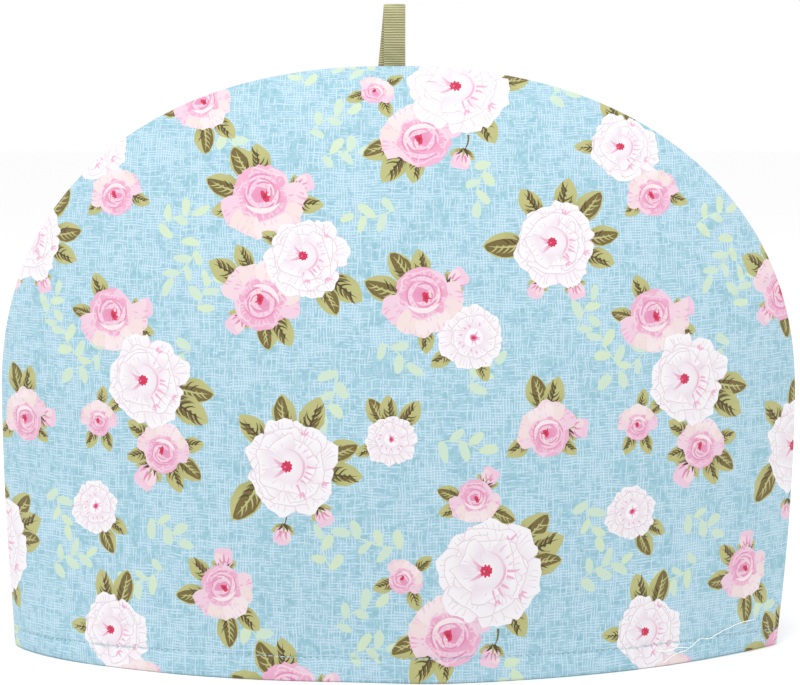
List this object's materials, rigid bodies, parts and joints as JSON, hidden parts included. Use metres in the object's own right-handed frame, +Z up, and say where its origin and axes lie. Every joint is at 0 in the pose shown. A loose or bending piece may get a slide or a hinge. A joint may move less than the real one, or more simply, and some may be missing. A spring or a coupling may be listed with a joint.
{
  "type": "tea cosy",
  "caption": "Dome-shaped tea cosy of rose-print cloth, front and back panels sewn round the edge, open hemmed bottom, short ribbon loop at the top.",
  "frame": {"origin": "on the ground, at the centre of the cosy's box seen from above", "axes": "+Z up, +X along the width from seam to seam, -Y towards the front panel"},
  "size_m": [0.32, 0.1328, 0.2592],
  "materials": {
    "rose_cloth": "matte printed cotton, duck-egg blue with pink and white roses",
    "olive_ribbon": "olive grosgrain ribbon, fine cross ribs, slight sheen"
  },
  "bodies": {
    "root": {"front_panel": "rose_cloth", "back_panel": "rose_cloth", "ribbon_loop": "olive_ribbon"}
  },
  "joints": []
}
